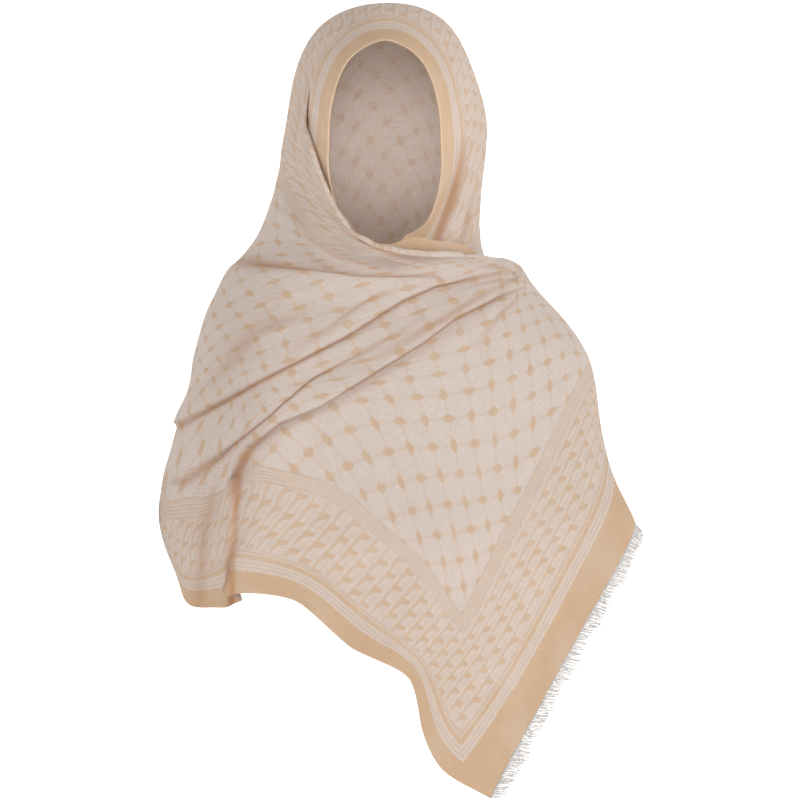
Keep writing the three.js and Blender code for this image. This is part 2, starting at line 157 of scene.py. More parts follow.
@dataclass(frozen=True)
class FoldPoint:
    """A point on the path of a pulled fold, seen from the front.

    Attributes:
        x, z: Where it is.
        rise: Height of the cloth above the path.
        soft: Width over which the upper side falls away.
        sharp: Width of the drop below the path.
        over: How far the fold hangs over the drop.
    """

    x: float
    z: float
    rise: float
    soft: float
    sharp: float
    over: float


ARCHES = [
    Arch(0, -88, -39, 2.2, 128, 128, 57, -66, -141),
    Arch(22, -69, -28, 2.2, 150, 150, 69, -49, -143),
    Arch(44, -51, -12, 2.25, 172, 172, 80, -29, -145),
    Arch(95, -3, 3, 2.55, 206, 200, 99, 14, -150),
    Arch(150, 50, -6, 2.5, 206, 180, 96, 52, -165),
    Arch(205, 92, -45, 2.2, 190, 166, 90, 78, -190),
    Arch(260, 112, -95, 2.1, 168, 145, 87, 90, -218),
]

# Levels down the back: t, the middle's y and z, how far along the cloth the sides are, left and
# right, then their x, y and z
LEVELS = [
    (330, 114, -165, 163, 132, 98, 88, -264),
    (400, 110, -235, 160, 132, 112, 88, -317),
    (480, 116, -315, 155, 135, 124, 94, -386),
    (560, 122, -395, 152, 138, 130, 100, -456),
    (640, 124, -475, 150, 140, 133, 104, -526),
]

# Where the cloth lies: the columns of Place
PLACES = [
    # jaw on the wearer's left, and the layer that runs on under the outer end
    (485, 0, 44, -72, -218), (440, 0, 20, -78, -236), (470, 44, 51, -62, -234), (440, 95, 77, -40, -246),
    (430, 150, 91, -5, -252), (430, 240, 105, 20, -273), (425, 330, 140, 15, -318),
    (425, 440, 175, 5, -378), (425, 540, 200, 0, -453), (425, 640, 213, 0, -528),
    # outline of the wearer's right side, down to the hem over the arm
    (908, 140, -110, 8, -178), (922, 172, -117, 6, -203), (940, 205, -130, 2, -238),
    (952, 255, -157, 0, -268), (952, 320, -181, 0, -311), (952, 385, -194, 0, -358),
    (950, 490, -211, 0, -428), (950, 585, -225, -2, -493), (955, 640, -226, -4, -528),
    # the lip under the chin, to the shoulder
    (965, 130, -66, -76, -238), (1005, 110, 3, -104, -250), (1065, 135, 45, -94, -255),
    (1125, 160, 95, -52, -253), (1165, 182, 120, -15, -256),
    # the gathers on the shoulder, and the lowest fold that is pulled from them
    (1195, 198, 133, -12, -268), (1213, 204, 135, -18, -281), (1197, 307, 70, -95, -338),
    (1178, 422, -40, -126, -396), (1150, 470, -95, -124, -428), (1115, 515, -133, -118, -470),
    (1135, 609, -150, -116, -558), (1144, 640, -155, -114, -591),
    # front of the wearer's right arm
    (1120, 380, -85, -120, -378), (1035, 330, -123, -92, -328), (1030, 480, -170, -72, -438),
    (1050, 509, -180, -72, -495), (1085, 509, -149, -92, -482), (990, 509, -219, -20, -498),
    (1005, 640, -209, -35, -574), (1060, 640, -185, -66, -605), (1105, 640, -142, -98, -597),
    # hem of the front
    (1211, 640, -90, -124, -596), (1240, 640, -67, -128, -613), (1285, 640, -33, -131, -643),
    (1350, 640, 24, -134, -673), (1397, 640, 36, -136, -720), (1447, 640, 57, -134, -763),
    (1500, 640, 103, -128, -791),
    # inner line of the hem's border
    (1145, 509, -95, -128, -469), (1195, 509, -40, -130, -488), (1235, 509, -5, -132, -518),
    (1284, 509, 35, -134, -553), (1350, 509, 75, -134, -608),
    # the outer end over the wearer's left arm
    (1350, 360, 140, -108, -483), (1420, 420, 160, -100, -558), (1500, 480, 177, -95, -658),
    (1500, 320, 252, -12, -523), (1465, 292, 232, -8, -480), (1420, 262, 217, -5, -428),
    (1350, 216, 205, -20, -358), (1290, 200, 175, -2, -313), (1240, 200, 145, -8, -290),
    # the tail thrown back over the shoulder
    (1190, 120, 126, 40, -262), (1215, 60, 120, 104, -280), (1300, 0, 80, 136, -420),
    (1350, 100, 178, 92, -400), (1500, 160, 185, 98, -558), (1500, 0, 45, 136, -598),
]

# The rim on the wearer's right, which runs on under the flap
RIM_PLACES = [
    (895, 0, -46, -71, -214), (905, 44, -63, -60, -222),
]

# The flap over the rim
FLAP_PLACES = [
    (829, 44, -80, -46, -130), (880, 38, -65, -72, -177), (920, 50, -47, -88, -217),
    (948, 75, -30, -97, -235), (886, 108, -104, 0, -149),
]

# The edge of the flap and of the lip: distance along the cloth and where it lies
LIP_LINE = [
    (800, -84, -34, -108), (829, -80, -46, -130), (855, -73, -59, -153), (880, -65, -72, -177),
    (905, -54, -83, -202), (922, -44, -90, -219), (945, -30, -97, -234), (968, -13, -101, -244),
    (992, 5, -103, -250), (1022, 26, -101, -254), (1065, 54, -88, -255), (1100, 77, -68, -254),
    (1130, 96, -48, -254), (1165, 120, -15, -257), (1190, 131, -9, -263),
]

# Where the cloth is led by that line, and where its edge is rolled wider
LED_FROM, LED_TO = (FLAP_S, 822), (1190, 1150)
ROLLED_FROM, ROLLED_TO = (FLAP_S, 840), (1200, 1180)

# Upper edge of the front and the outer end: the flap beside the face, the lip, the shoulder
UPPER_EDGE = [
    (800, 50), (829, 45), (880, 41), (905, 43), (925, 56), (1005, 110), (1065, 135), (1125, 160),
    (1165, 182), (1190, 184), (1200, 130), (1230, 40), (1290, 0), (1500, 0),
]

# Pulled folds on the front, as worn: a group for each fold, with the columns of FoldPoint
FRONT_FOLDS = [
    # the upper long fold, from the gathers to the wearer's right arm
    [(128, -266, 2, 9, 4, 2), (92, -270, 5, 13, 4, 3), (48, -281, 9, 18, 3.5, 5),
     (12, -298, 9, 20, 3.5, 4), (-38, -330, 10, 22, 3.5, 5), (-93, -360, 10, 22, 3.5, 4),
     (-139, -384, 9, 22, 4, 4), (-176, -404, 8, 20, 3.5, 4), (-206, -420, 6, 16, 3.5, 3)],
    # the middle fold
    [(30, -316, 1, 10, 4, 0), (-19, -345, 4, 14, 4, 2), (-72, -373, 9, 20, 3.5, 4),
     (-105, -398, 11, 22, 3, 6), (-132, -425, 11, 22, 3, 6), (-162, -449, 9, 20, 4.2, 4),
     (-203, -474, 5, 18, 6, 2)],
    # the lowest fold, that turns down into the front's folded edge
    [(136, -280, 2, 9, 4, 2), (106, -294, 7, 13, 3.5, 4), (65, -316, 11, 18, 3, 5),
     (31, -341, 12, 22, 3, 6), (-25, -376, 12, 24, 3, 6), (-67, -400, 12, 24, 3, 6),
     (-105, -416, 12, 22, 3, 6), (-132, -441, 13, 18, 3, 7), (-146, -471, 12, 16, 3, 7),
     (-152, -512, 6, 13, 4, 4), (-155, -556, 6, 12, 4, 4), (-156, -600, 8, 12, 4, 4)],
    # a short one above them
    [(4, -288, 1, 8, 4, 1), (-14, -293, 5, 10, 3.5, 4), (-36, -306, 5, 12, 4, 3),
     (-63, -326, 3, 12, 5, 2), (-101, -349, 1, 10, 6, 0)],
    # the roll across the chest and its valley
    [(-160, -268, 2, 24, 10, 1), (-118, -276, 9, 26, 9, 3), (-67, -280, 11, 24, 6, 5),
     (-25, -283, 9, 20, 4.5, 4), (14, -282, 7, 18, 4, 4), (46, -278, 3, 12, 4, 2)],
    # between the long folds
    [(122, -276, 1, 7, 4, 1), (84, -294, 5, 10, 4, 3), (40, -320, 5, 13, 5, 2), (-30, -362, 1, 12, 6, 0)],
    # pleats beside the lip under the chin
    [(-66, -190, 1, 7, 4, 1), (-50, -220, 3, 8, 4, 2), (-26, -244, 5, 9, 3.5, 3),
     (10, -258, 5, 9, 3.5, 3), (44, -266, 2, 8, 4, 1)],
    [(-100, -214, 1, 9, 6, 1), (-80, -240, 3, 11, 5, 2), (-50, -260, 4, 11, 4, 2),
     (-10, -272, 1, 9, 5, 1)],
    # over the wearer's right arm
    [(-120, -300, 1, 16, 12, 0), (-150, -336, 4, 20, 12, 0), (-186, -380, 1, 18, 12, 0)],
    [(-172, -468, 1, 12, 6, 1), (-186, -520, 3, 14, 7, 2), (-194, -600, 3, 12, 8, 2)],
    [(-150, -352, 1, 14, 9, 0), (-110, -334, 4, 14, 8, 1), (-64, -316, 1, 12, 8, 0)],
    # gathers that run out of the knot on the shoulder
    [(136, -270, 3, 5, 3, 2), (116, -262, 5, 6, 3, 3), (90, -258, 1, 7, 4, 1)],
    [(138, -274, 3, 5, 3, 2), (112, -274, 5, 6, 3, 3), (78, -282, 1, 7, 4, 1)],
    [(136, -286, 2, 6, 4, 1), (112, -308, 5, 9, 4, 2), (88, -336, 1, 12, 6, 0)],
]

# Folds beside the face on the wearer's left
LEFT_FOLDS = [
    [(54, -240, 8, 13, 4, 3), (62, -216, 9, 15, 4, 4), (72, -188, 8, 15, 4.5, 3),
     (81, -158, 4, 14, 5, 1), (87, -130, 0, 12, 6, 0)],
    [(76, -250, 4, 8, 4, 1), (86, -220, 4, 8, 5, 1), (95, -176, 0, 9, 6, 0)],
]

# Hanging folds: place along the cloth, its lean, where the fold starts across, depth, half width
DRAPES = [
    (478, 0.10, 180, -4, 15), (520, 0.05, 150, 7, 24), (562, -0.04, 260, -5, 17),
    (604, 0.03, 190, -6, 20), (652, 0.02, 250, 7, 19), (694, -0.02, 330, -4, 14),
    (738, 0.04, 250, -6, 20), (788, -0.06, 200, 7, 22), (842, -0.08, 170, -6, 22),
    (893, 0.03, 230, 5, 19), (1268, 0.0, 420, -4, 20), (1318, 0.05, 470, 6, 22),
    (1392, 0.10, 380, -3, 26), (1450, 0.12, 330, 5, 17),
]

# The border turned in under the chin: x, then y and z of its upper and lower edges
NECK_BAND = [
    (-40, -80, -214, -79, -222), (-22, -89, -236, -87, -248), (0, -95, -243, -90, -258),
    (25, -91, -237, -86, -257), (45, -84, -238, -78, -259), (70, -65, -241, -60, -262),
    (92, -40, -250, -35, -267),
]

BAND_COLUMNS = 150
BAND_ROWS = 12
BAND_START_S = 900.0
BAND_LENGTH = 160.0
BAND_BELLY = 1.6

# The hidden inner end: the part of its height, then x, y and z of its hanging edge
INNER_COLUMNS = 70
INNER_ROWS = 90
INNER_START_S = 190.0
INNER_JOIN_S = 428.6
INNER_TOP_T = 200.0
INNER_SHOWN_T = 350.0
INNER_EDGE = [
    (0.0, -55, -88, -292), (0.3, -58, -98, -360), (0.6, -62, -106, -440), (1.0, -66, -108, -545),
]

# How far from its edge the flap is led by it, and where the rim under it ends
FLAP_WIDTH = 30.0
STRIP_END_S = 906.0
STRIP_UNDER = 12.0
STRIP_COLUMNS = 53
STRIP_ROWS = 40
STRIP_SUNK = 2.2

Array = np.ndarray
Rows = list[tuple[float, ...]]


def smooth_step(start: float, end: float, value: Array) -> Array:
    """Ease from 0 at start to 1 at end.

    Args:
        start: Value at which the result is 0.
        end: Value at which the result is 1.
        value: Values to ease.

    Returns:
        Values from 0 to 1.
    """
    part = np.clip((value - start) / (end - start), 0, 1)
    return part * part * (3 - 2 * part)


def unit(vectors: Array) -> Array:
    """Scale vectors to length 1.

    Args:
        vectors: Vectors along the last axis.

    Returns:
        The unit vectors.
    """
    return vectors / np.maximum(np.linalg.norm(vectors, axis=-1, keepdims=True), 1e-9)


def run_along(path: Array) -> Array:
    """Measure how far along a path its points are.

    Args:
        path: Points, one a row.

    Returns:
        Distances from the first point.
    """
    return np.concatenate([[0], np.cumsum(np.linalg.norm(np.diff(path, axis=0), axis=1))])


def read_rows(at: Array, knots: Array, rows: Array) -> Array:
    """Read a table between its rows.

    Args:
        at: Where to read it.
        knots: Where its rows are, in rising order.
        rows: The table.

    Returns:
        One row of numbers for each place.
    """
    return np.stack([np.interp(at, knots, column) for column in rows.T], -1)


def linked(name: str, data: bpy.types.ID) -> bpy.types.Object:
    """Make an object and link it to the scene.

    Args:
        name: Object name.
        data: Its mesh, light or camera.

    Returns:
        The new object.
    """
    made = bpy.data.objects.new(name, data)
    bpy.context.collection.objects.link(made)
    return made


def smooth_mesh(name: str, points: Array, faces: list, *finishes: bpy.types.Material) -> bpy.types.Object:
    """Make a smoothly shaded mesh object.

    Args:
        name: Object name.
        points: Its points in metres.
        faces: The corners of each face.
        finishes: Its materials.

    Returns:
        The new object.
    """
    mesh = bpy.data.meshes.new(name)
    mesh.from_pydata(points.tolist(), [], faces)
    for finish in finishes:
        mesh.materials.append(finish)
    mesh.polygons.foreach_set("use_smooth", np.ones(len(faces), dtype=bool))
    mesh.update()
    return linked(name, mesh)


class ThinPlate:
    """A thin-plate spline from places on the cloth to places in the room."""

    def __init__(self, places: list[Place]) -> None:
        """Solve the spline.

        Args:
            places: Places that the cloth passes through.
        """
        self.centres = np.array([(p.s, p.t) for p in places]) / COORDINATE_SCALE
        count = len(places)
        matrix = np.zeros((count + 3, count + 3))
        matrix[:count, :count] = self._kernel(self.centres)
        matrix[:count, count] = 1
        matrix[:count, count + 1 :] = self.centres
        matrix[count:, :count] = matrix[:count, count:].T
        right = np.zeros((count + 3, 3))
        right[:count] = [(p.x, p.y, p.z) for p in places]
        self.weights = np.linalg.solve(matrix, right)

    def _kernel(self, points: Array) -> Array:
        squared = ((points[:, None] - self.centres[None]) ** 2).sum(-1)
        return 0.5 * squared * np.log(squared + 1e-9)

    def __call__(self, s: Array, t: Array) -> Array:
        """Place the cloth.

        Args:
            s: Distances along the cloth.
            t: Distances across it.

        Returns:
            Points in millimetres, with a last axis of three.
        """
        flat = np.stack([np.ravel(s), np.ravel(t)], axis=1) / COORDINATE_SCALE
        terms = np.hstack([self._kernel(flat), np.ones((len(flat), 1)), flat])
        return (terms @ self.weights).reshape(np.shape(s) + (3,))



class FoldSet:
    """Pulled folds that share a part of the cloth."""

    SIZES = ("rise", "soft", "sharp", "over")
    # rise at which the painted shade below a fold is at full strength
    FULL_RISE = 8.0

    def __init__(self, paths: list[Rows]) -> None:
        """Name the columns of the folds.

        Args:
            paths: A group of rows for each fold.
        """
        self.paths = [[FoldPoint(*row) for row in rows] for rows in paths]

    def lift(self, x: Array, z: Array) -> tuple[Array, Array, Array, Array]:
        """Find how the folds move the cloth.

        Args:
            x: Sideways places in front view.
            z: Heights in front view.

        Returns:
            The rise, the sideways and upward slip, and the painted shade in the valley below each fold.
        """
        rise, slip_x, slip_z, crease_shade = (np.zeros_like(x) for _ in range(4))
        for path in self.paths:
            off, (height, soft, sharp, over), down_x, down_z = self._nearest(path, x, z)
            above = off > 0
            shape = np.exp(-((off / np.where(above, soft, sharp)) ** 2))
            rise = np.hypot(rise, height * shape)
            reach = over * np.exp(-((off / np.where(above, soft * 0.5, sharp)) ** 2))
            slip_x += reach * down_x
            slip_z += reach * down_z
            # painted shade: a dark band just below each fold's path, stronger for higher folds
            below = np.exp(-(((off + sharp * 1.1) / (sharp * 0.8)) ** 2))
            crease_shade = np.maximum(crease_shade, below * np.clip(height / self.FULL_RISE, 0, 1))
        return rise, slip_x, slip_z, crease_shade

    @classmethod
    def _nearest(cls, path: list[FoldPoint], x: Array, z: Array) -> tuple[Array, Array, Array, Array]:
        best = np.full(x.shape, np.inf)
        off, down_x, down_z = (np.zeros_like(x) for _ in range(3))
        sizes = np.zeros((len(cls.SIZES),) + x.shape)
        for start, end in zip(path, path[1:]):
            step_x, step_z = end.x - start.x, end.z - start.z
            length = math.hypot(step_x, step_z)
            part = np.clip(((x - start.x) * step_x + (z - start.z) * step_z) / length**2, 0, 1)
            off_x, off_z = x - start.x - part * step_x, z - start.z - part * step_z
            distance = np.hypot(off_x, off_z)
            nearer = distance < best
            best = np.where(nearer, distance, best)
            side = np.where(step_x * off_z - step_z * off_x < 0, 1.0, -1.0)
            off = np.where(nearer, side * distance, off)
            down_x = np.where(nearer, -step_z / length, down_x)
            down_z = np.where(nearer, step_x / length, down_z)
            for row, size in enumerate(cls.SIZES):
                first, last = getattr(start, size), getattr(end, size)
                sizes[row] = np.where(nearer, first + (last - first) * part, sizes[row])
        return off, sizes, down_x, down_z


def grid_normals(points: Array) -> Array:
    """Measure the outward normals of a grid of the cloth.

    Args:
        points: Points as rows across the cloth by columns along it.

    Returns:
        Unit normals of the same shape.
    """
    return unit(np.cross(np.gradient(points, axis=0), np.gradient(points, axis=1)))


class WornCloth:
    """The shawl as worn: a smooth drape with folds laid on it."""

    ARCH_STEPS = 41
    ARCH_PARTS = (0.33, 0.67, 1.0)
    DRAPE_EASE = 170.0
    # where the pulled folds fade in: along the cloth, across it, and by how it faces
    FRONT_FROM = (865, 905)
    FRONT_TOP = (45, 80)
    FRONT_FACING = (0.15, -0.25)
    LEFT_FROM = (640, 600)
    LEFT_FACING = (0.6, 0.2)

    def __init__(self) -> None:
        """Set up the drape and its folds."""
        self.drape = ThinPlate(self._places(True))
        self.rim = ThinPlate(self._places(False))
        self.front = FoldSet(FRONT_FOLDS)
        self.left = FoldSet(LEFT_FOLDS)

    @classmethod
    def _places(cls, flap: bool) -> list[Place]:
        places = [Place(*row) for row in PLACES + (FLAP_PLACES if flap else RIM_PLACES)]
        for arch in ARCHES:
            covered = flap and PLAIN_BAND <= arch.t <= BORDER_END
            places.append(Place(FOREHEAD_S, arch.t, 0, arch.top_y, arch.top_z))
            angle = np.linspace(0, math.pi / 2, cls.ARCH_STEPS)
            up = np.abs(np.cos(angle)) ** (2 / arch.power)
            out = np.sin(angle) ** (2 / arch.power)
            foot = np.array([arch.side_x, arch.side_y, arch.side_z])
            top = np.array([0, arch.top_y, arch.top_z])
            path = foot + (top - foot) * np.stack([1 - out, up, up], axis=1)
            run = run_along(path)
            for part in cls.ARCH_PARTS:
                x, y, z = read_rows(part * run[-1], run, path)
                places.append(Place(FOREHEAD_S - arch.side_at * part, arch.t, x, y, z))
                if part < 1 or not covered:
                    places.append(Place(FOREHEAD_S + arch.far_at * part, arch.t, -x, y, z))
        for t, mid_y, mid_z, left, right, x, y, z in LEVELS:
            places.append(Place(FOREHEAD_S, t, 0, mid_y, mid_z))
            places.append(Place(FOREHEAD_S - left, t, x, y, z))
            places.append(Place(FOREHEAD_S + right, t, -x, y, z))
        return places

    def grid(self, s: Array, t: Array, points: Array) -> tuple[Array, Array]:
        """Lay the folds on a grid of the cloth.

        Args:
            s: Distances along the cloth, rows across by columns along.
            t: Distances across it.
            points: The smooth cloth.

        Returns:
            Points in millimetres and the painted shade of each one, in the valleys below the folds.
        """
        normals = grid_normals(points)
        lift = np.zeros_like(s)
        slip = np.zeros_like(points)
        for place, lean, start, depth, half in DRAPES:
            bell = np.exp(-(((s - place - lean * (t - start)) / half) ** 2))
            lift += depth * bell * smooth_step(start, start + self.DRAPE_EASE, t)
        front = smooth_step(*self.FRONT_FACING, normals[..., 1])
        front = front * smooth_step(*self.FRONT_FROM, s) * smooth_step(*self.FRONT_TOP, t)
        left = smooth_step(*self.LEFT_FACING, normals[..., 1]) * smooth_step(*self.LEFT_FROM, s)
        crease_shade = np.zeros_like(s)
        for folds, share in ((self.front, front), (self.left, left)):
            rise, slip_x, slip_z, depth = folds.lift(points[..., 0], points[..., 2])
            lift += share * rise
            pull = np.stack([share * slip_x, np.zeros_like(s), share * slip_z], -1)
            slip += pull - normals * (pull * normals).sum(-1, keepdims=True)
            # painted shade in the valleys below the pulled folds
            crease_shade = np.maximum(crease_shade, share * depth)
        return points + normals * lift[..., None] + slip, crease_shade


@dataclass(frozen=True)
class Value:
    """A value in a material's graph. Arithmetic on it adds maths nodes."""

    graph: "Graph"
    socket: bpy.types.NodeSocket

    def __add__(self, other: object) -> "Value":
        return self.graph.maths("ADD", self, other)

    def __sub__(self, other: object) -> "Value":
        return self.graph.maths("SUBTRACT", self, other)

    def __rsub__(self, other: object) -> "Value":
        return self.graph.maths("SUBTRACT", other, self)

    def __mul__(self, other: object) -> "Value":
        return self.graph.maths("MULTIPLY", self, other)

    def __truediv__(self, other: object) -> "Value":
        return self.graph.maths("DIVIDE", self, other)

    def __abs__(self) -> "Value":
        return self.graph.maths("ABSOLUTE", self)


class Graph:
    """Short calls for building a material's node graph."""

    def __init__(self, name: str) -> None:
        """Start a material.

        Args:
            name: Material name.
        """
        self.material = bpy.data.materials.new(name)
        self.material.use_nodes = True
        self.tree = self.material.node_tree
        self.tree.nodes.clear()

    def node(self, kind: str, inputs: dict, output: int | str = 0, **settings: object) -> Value | None:
        """Add a node.

        Args:
            kind: The node's type.
            inputs: What goes into its sockets.
            output: The socket to take.
            settings: Its properties.

        Returns:
            The value of that socket, if the node has any.
        """
        made = self.tree.nodes.new(kind)
        for key, value in settings.items():
            setattr(made, key, value)
        for key, value in inputs.items():
            if isinstance(value, Value):
                self.tree.links.new(value.socket, made.inputs[key])
            else:
                made.inputs[key].default_value = value
        return Value(self, made.outputs[output]) if made.outputs else None

    def finish(self, surface: Value) -> bpy.types.Material:
        """Use the surface and return the material."""
        self.node("ShaderNodeOutputMaterial", {0: surface})
        return self.material

    def maths(self, operation: str, *values: object) -> Value:
        """Add a maths node."""
        return self.node("ShaderNodeMath", dict(enumerate(values)), operation=operation)

    def ease(self, value: object, start: object, end: object) -> Value:
        """Ease from 0 at start to 1 at end."""
        inputs = {"Value": value, "From Min": start, "From Max": end}
        return self.node("ShaderNodeMapRange", inputs, interpolation_type="SMOOTHSTEP")

    def mix(self, share: object, first: object, second: object) -> Value:
        """Mix two colours."""
        return self.node("ShaderNodeMix", {0: share, 6: first, 7: second}, 2, data_type="RGBA")

    def blend(self, share: object, first: object, second: object) -> Value:
        """Mix two numbers."""
        return self.node("ShaderNodeMix", {0: share, 2: first, 3: second}, data_type="FLOAT")

    def noise(self, place: Value, scale: float, detail: float = 2.0) -> Value:
        """Add a noise texture."""
        return self.node("ShaderNodeTexNoise", {"Vector": place, "Scale": scale, "Detail": detail}, "Fac")

    def line(self, value: Value, centre: float, half: float) -> Value:
        """Mark a line of the given half width at centre."""
        return self.ease(abs(value - centre), half * 1.5, half * 0.5)

    def zone(self, value: Value, start: float, end: float, soft: float = 0.4) -> Value:
        """Mark the stretch from start to end."""
        return self.ease(value, start - soft, start + soft) * self.ease(value, end + soft, end - soft)


@dataclass(frozen=True)
class Weave:
    """The yarn-dyed cloth: its yarn colours and how strongly the pattern shows.

    Attributes:
        name: Material name.
        white: Ground yarn.
        peach: Pattern yarn.
        strength: Contrast of the pattern.
        see_through: Share of light that passes through.
    """

    name: str
    white: Colour
    peach: Colour
    strength: float
    see_through: float

    RIB_PITCH = 2.3
    STITCH_BEAT = 2.6
    # how strongly each layer shows
    SLUBS = 0.24
    LINES = 0.42
    RIBS = 0.13
    STITCHES = 0.3
    FADING = 0.2
    # painted shade: how far the colour goes towards the fold-valley shade colour
    CREASE_SHADE_AMOUNT = 0.7
    KNOTS = 0.85
    THREADS = 0.2
    HALOS = 0.15
    # from an edge inward: the thin dark lines, and the rail's peach ones with their half widths
    DARK_LINES = (30.0, LEAF_START, LEAF_END, 120.6, 126.5, BORDER_END)
    RAIL_LINES = ((117.5, 0.7), (123.5, 0.8), (129.5, 0.7))

    def build(self) -> bpy.types.Material:
        """Make the material from the cloth coordinates."""
        g = Graph(self.name)
        place = g.node("ShaderNodeUVMap", {}, uv_map="cloth")
        wander = (g.noise(place, 45.0) - 0.5) * 2.6
        s = g.node("ShaderNodeSeparateXYZ", {0: place}, 0) * (1 / MM) + wander
        t = g.node("ShaderNodeSeparateXYZ", {0: place}, 1) * (1 / MM) + wander * -0.7
        from_side = g.maths("MINIMUM", t, CLOTH_WIDTH - t)
        from_end = g.maths("MINIMUM", s, CLOTH_LENGTH - s)
        near_end = g.maths("LESS_THAN", from_end, PLAIN_END)
        narrow = from_end - (PLAIN_END - PLAIN_BAND)
        from_end = g.blend(near_end, narrow, from_end * (PLAIN_BAND / PLAIN_END))
        inward = g.maths("MINIMUM", from_side, from_end)
        in_field = g.ease(inward, BORDER_END - 0.5, BORDER_END + 0.5)
        peach = g.blend(in_field, self._border(g, inward, s, t), self._net(g, s, t)) * self.strength
        slub = self._slubs(g, place)
        ribs = (1.0 - peach) * g.maths("SINE", t * (math.tau / self.RIB_PITCH)) * self.RIBS
        faded = g.ease(g.noise(place, 22.0, 4.0), 0.42, 0.68)
        # painted shade, read from the mesh attribute
        crease_shade = g.node("ShaderNodeAttribute", {}, "Fac", attribute_name="crease_shade")
        colour = g.mix(peach, linear(self.white), linear(self.peach))
        for share, yarn in (
            (slub * self.SLUBS, Colour.LINE_YARN),
            (self._dark_lines(g, inward) * (self.LINES * self.strength), Colour.LINE_YARN),
            (g.maths("MAXIMUM", ribs, 0.0), Colour.LINE_YARN),
            (self._stitches(g, s, from_side) * self.STITCHES, Colour.STITCH),
            (faded * self.FADING, self.white),
            # painted shade in the fold valleys
            (crease_shade * self.CREASE_SHADE_AMOUNT, Colour.PAINTED_CREASE_SHADE),
        ):
            colour = g.mix(share, colour, linear(yarn))
        return g.finish(self._surface(g, colour, peach * 0.5 + slub))

    @classmethod
    def _border(cls, g: Graph, inward: Value, s: Value, t: Value) -> Value:
        """Mark the plain band, the stripe, the leaves and the rail."""
        total = g.ease(inward, PLAIN_BAND + 0.4, PLAIN_BAND - 0.4)
        rail = g.line(inward, *cls.RAIL_LINES[0])
        for line in cls.RAIL_LINES[1:]:
            rail = rail + g.line(inward, *line)
        for extra in (
            g.zone(inward, PLAIN_BAND, LEAF_START) * 0.18,
            cls._leaves(g, s, t) * g.zone(inward, LEAF_START + 1, LEAF_END - 1),
            rail * 0.4,
            g.zone(inward, LEAF_END, BORDER_END) * 0.22,
            g.zone(inward, WHITE_LINES_END, STRIPE_END) * 0.7,
            g.line(inward, 41.6, 0.7) * 0.8,
        ):
            total = total + extra
        return g.maths("MINIMUM", total, 1.0)

    @staticmethod
    def _leaves(g: Graph, s: Value, t: Value) -> Value:
        """Mark rows of hooked leaves that run across the cloth, each with a pale outline."""
        lane = s / LEAF_PITCH
        aside = (g.maths("FRACT", lane) - 0.5) * LEAF_PITCH
        shifted = t - g.maths("FLOOR", lane) * LEAF_STAGGER + aside * 0.45
        place = g.maths("FRACT", shifted / LEAF_REPEAT)
        head = g.ease(place, 0.02, 0.1) * g.ease(place, 0.40, 0.3)
        half = g.ease(place, 1.0, 0.2) * 1.4 + 1.0 + head * 2.2
        outside = abs(aside - (head * 3.6 - 3.2)) - half
        ground = g.blend(g.line(outside, 1.9, 1.1), 0.24, 0.0)
        return g.blend(g.ease(outside, 0.8, -0.5), ground, g.blend(head, 0.6, 0.8))

    @classmethod
    def _dark_lines(cls, g: Graph, inward: Value) -> Value:
        """Mark the thin dark lines inside the border."""
        total = g.line(inward, 26.0, 0.5)
        for centre in cls.DARK_LINES:
            total = total + g.line(inward, centre, 0.45)
        return g.maths("MINIMUM", total, 1.0)

    @classmethod
    def _stitches(cls, g: Graph, s: Value, from_side: Value) -> Value:
        """Mark the overcast stitches along the long sides."""
        return g.ease(from_side, 1.4, 0.7) * (g.maths("SINE", s * cls.STITCH_BEAT) * 0.25 + 0.75)

    @classmethod
    def _net(cls, g: Graph, s: Value, t: Value) -> Value:
        """Mark the net's threads and the knots where they cross, turned one way and the other."""
        scale = 1 / NET_CELL
        offs, cells = [], []
        for value in (s * (0.79 * scale) + t * (0.615 * scale), s * (0.667 * scale) - t * (0.745 * scale)):
            cells.append(g.maths("FLOOR", value + 0.5))
            offs.append(abs(value - cells[-1]) * NET_CELL)
        turned = abs(g.maths("MODULO", cells[0] + cells[1], 2.0))
        long_way = g.blend(turned, *offs)
        short_way = g.blend(turned, *offs[::-1])
        knot = g.maths("POWER", long_way / 6.6, 1.4) + g.maths("POWER", short_way / 4.0, 1.4)
        nearest = g.maths("MINIMUM", *offs)
        threads = g.ease(nearest, 1.1, 0.2) * cls.THREADS + g.ease(nearest, 3.2, 0.4) * cls.HALOS
        return g.maths("MAXIMUM", g.ease(knot, 1.35, 0.6) * cls.KNOTS, threads)

    @staticmethod
    def _slubs(g: Graph, place: Value) -> Value:
        """Mark uneven yarns, along and across."""
        weft, warp = (
            g.noise(g.node("ShaderNodeMapping", {"Vector": place, "Scale": scale}), 1.0, 3.0)
            for scale in ((60, 900, 1), (900, 80, 1))
        )
        return g.ease(weft + warp, 0.75, 1.3)

    def _surface(self, g: Graph, colour: Value, height: Value) -> Value:
        """Make the yarns' relief and let some light through."""
        bump = g.node("ShaderNodeBump", {"Distance": 0.0006, "Strength": 0.5, "Height": height})
        inputs = {"Base Color": colour, "Normal": bump, "Roughness": 0.88}
        inputs |= {"Specular IOR Level": 0.15, "Sheen Weight": 0.12}
        body = g.node("ShaderNodeBsdfPrincipled", inputs)
        through = g.node("ShaderNodeBsdfTranslucent", {"Color": colour})
        return g.node("ShaderNodeMixShader", {0: self.see_through, 1: body, 2: through})


